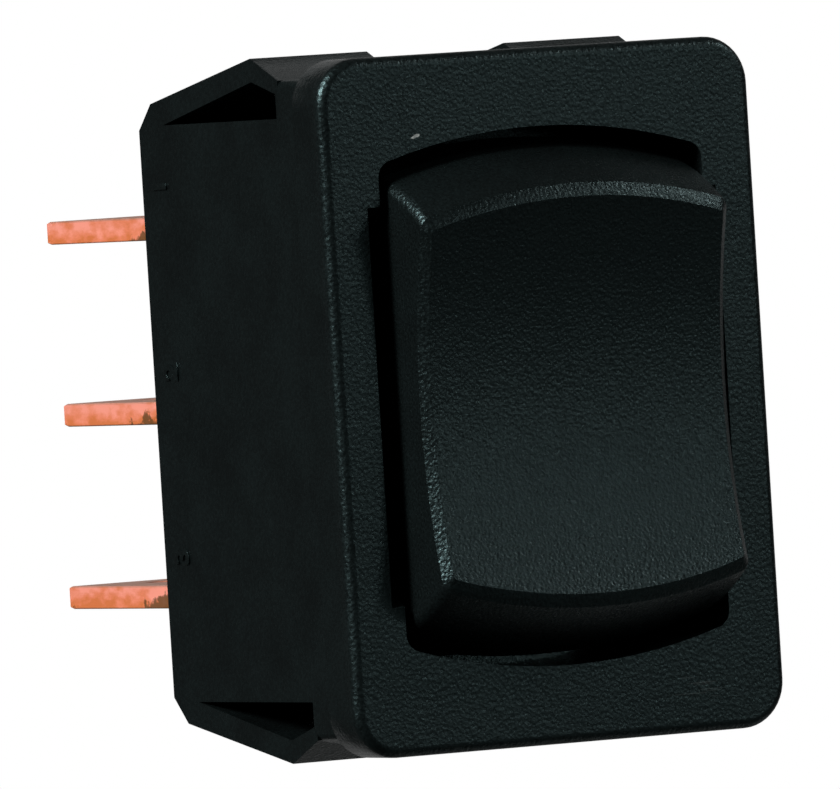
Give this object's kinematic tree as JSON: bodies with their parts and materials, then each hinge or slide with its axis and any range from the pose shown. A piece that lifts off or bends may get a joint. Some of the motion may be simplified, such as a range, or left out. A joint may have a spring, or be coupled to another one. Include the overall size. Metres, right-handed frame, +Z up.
{
  "type": "rocker switch",
  "caption": "Black snap-in miniature rocker switch, two-pole on-off-on, with a dished rocker in its centre position, four snap wings and copper push-on tabs.",
  "frame": {"origin": "centre of the bezel's rear face, where the switch seats on the panel", "axes": "+Z up the switch's long side, +X across it, -Y out of the panel towards the user"},
  "size_m": [0.0168, 0.0262, 0.024],
  "materials": {
    "black_nylon": "fine moulded grain",
    "black_rocker": "fine moulded grain, slightly smoother than the housing",
    "tab_copper": "bare copper, slightly stained at the root",
    "contact_copper": "rolled copper strip",
    "contact_silver": "silver rivet",
    "spring_steel": "drawn spring wire",
    "natural_nylon": "unpigmented nylon"
  },
  "bodies": {
    "root": {"housing": "black_nylon", "terminal_left_upper": "tab_copper", "terminal_left_middle": "tab_copper", "terminal_left_lower": "tab_copper", "terminal_right_upper": "tab_copper", "terminal_right_middle": "tab_copper", "terminal_right_lower": "tab_copper", "fixed_contact_left_upper": "contact_silver", "fixed_contact_left_lower": "contact_silver", "fixed_contact_right_upper": "contact_silver", "fixed_contact_right_lower": "contact_silver"},
    "rocker": {"rocker": "black_rocker", "spring_left": "spring_steel", "spring_right": "spring_steel"},
    "plunger_left": {"plunger_left": "natural_nylon"},
    "seesaw_left": {"seesaw_left": "contact_copper", "moving_contact_left_upper": "contact_silver", "moving_contact_left_lower": "contact_silver"},
    "plunger_right": {"plunger_right": "natural_nylon"},
    "seesaw_right": {"seesaw_right": "contact_copper", "moving_contact_right_upper": "contact_silver", "moving_contact_right_lower": "contact_silver"}
  },
  "joints": [
    {"name": "rocker_tilt", "type": "hinge", "parent": "root", "child": "rocker", "pos_m": [0, 0.0008, 0], "axis": [1, 0, 0], "range_deg": [-10, 10]},
    {"name": "plunger_left_stroke", "type": "slide", "parent": "rocker", "child": "plunger_left", "axis": [0, -1, 0], "range_m": [0, 0.001], "stiffness_N_per_m": 300, "deforming": ["spring_left"]},
    {"name": "seesaw_left_rock", "type": "hinge", "parent": "root", "child": "seesaw_left", "pos_m": [-0.00395, 0.0075, 0], "axis": [1, 0, 0], "range_deg": [-12.5, 12.5]},
    {"name": "plunger_right_stroke", "type": "slide", "parent": "rocker", "child": "plunger_right", "axis": [0, -1, 0], "range_m": [0, 0.001], "stiffness_N_per_m": 300, "deforming": ["spring_right"]},
    {"name": "seesaw_right_rock", "type": "hinge", "parent": "root", "child": "seesaw_right", "pos_m": [0.00395, 0.0075, 0], "axis": [1, 0, 0], "range_deg": [-12.5, 12.5]}
  ],
  "couplings": [
    {"joint": "seesaw_left_rock", "follows": "rocker_tilt", "ratio": -1.25},
    {"joint": "seesaw_right_rock", "follows": "rocker_tilt", "ratio": -1.25}
  ]
}
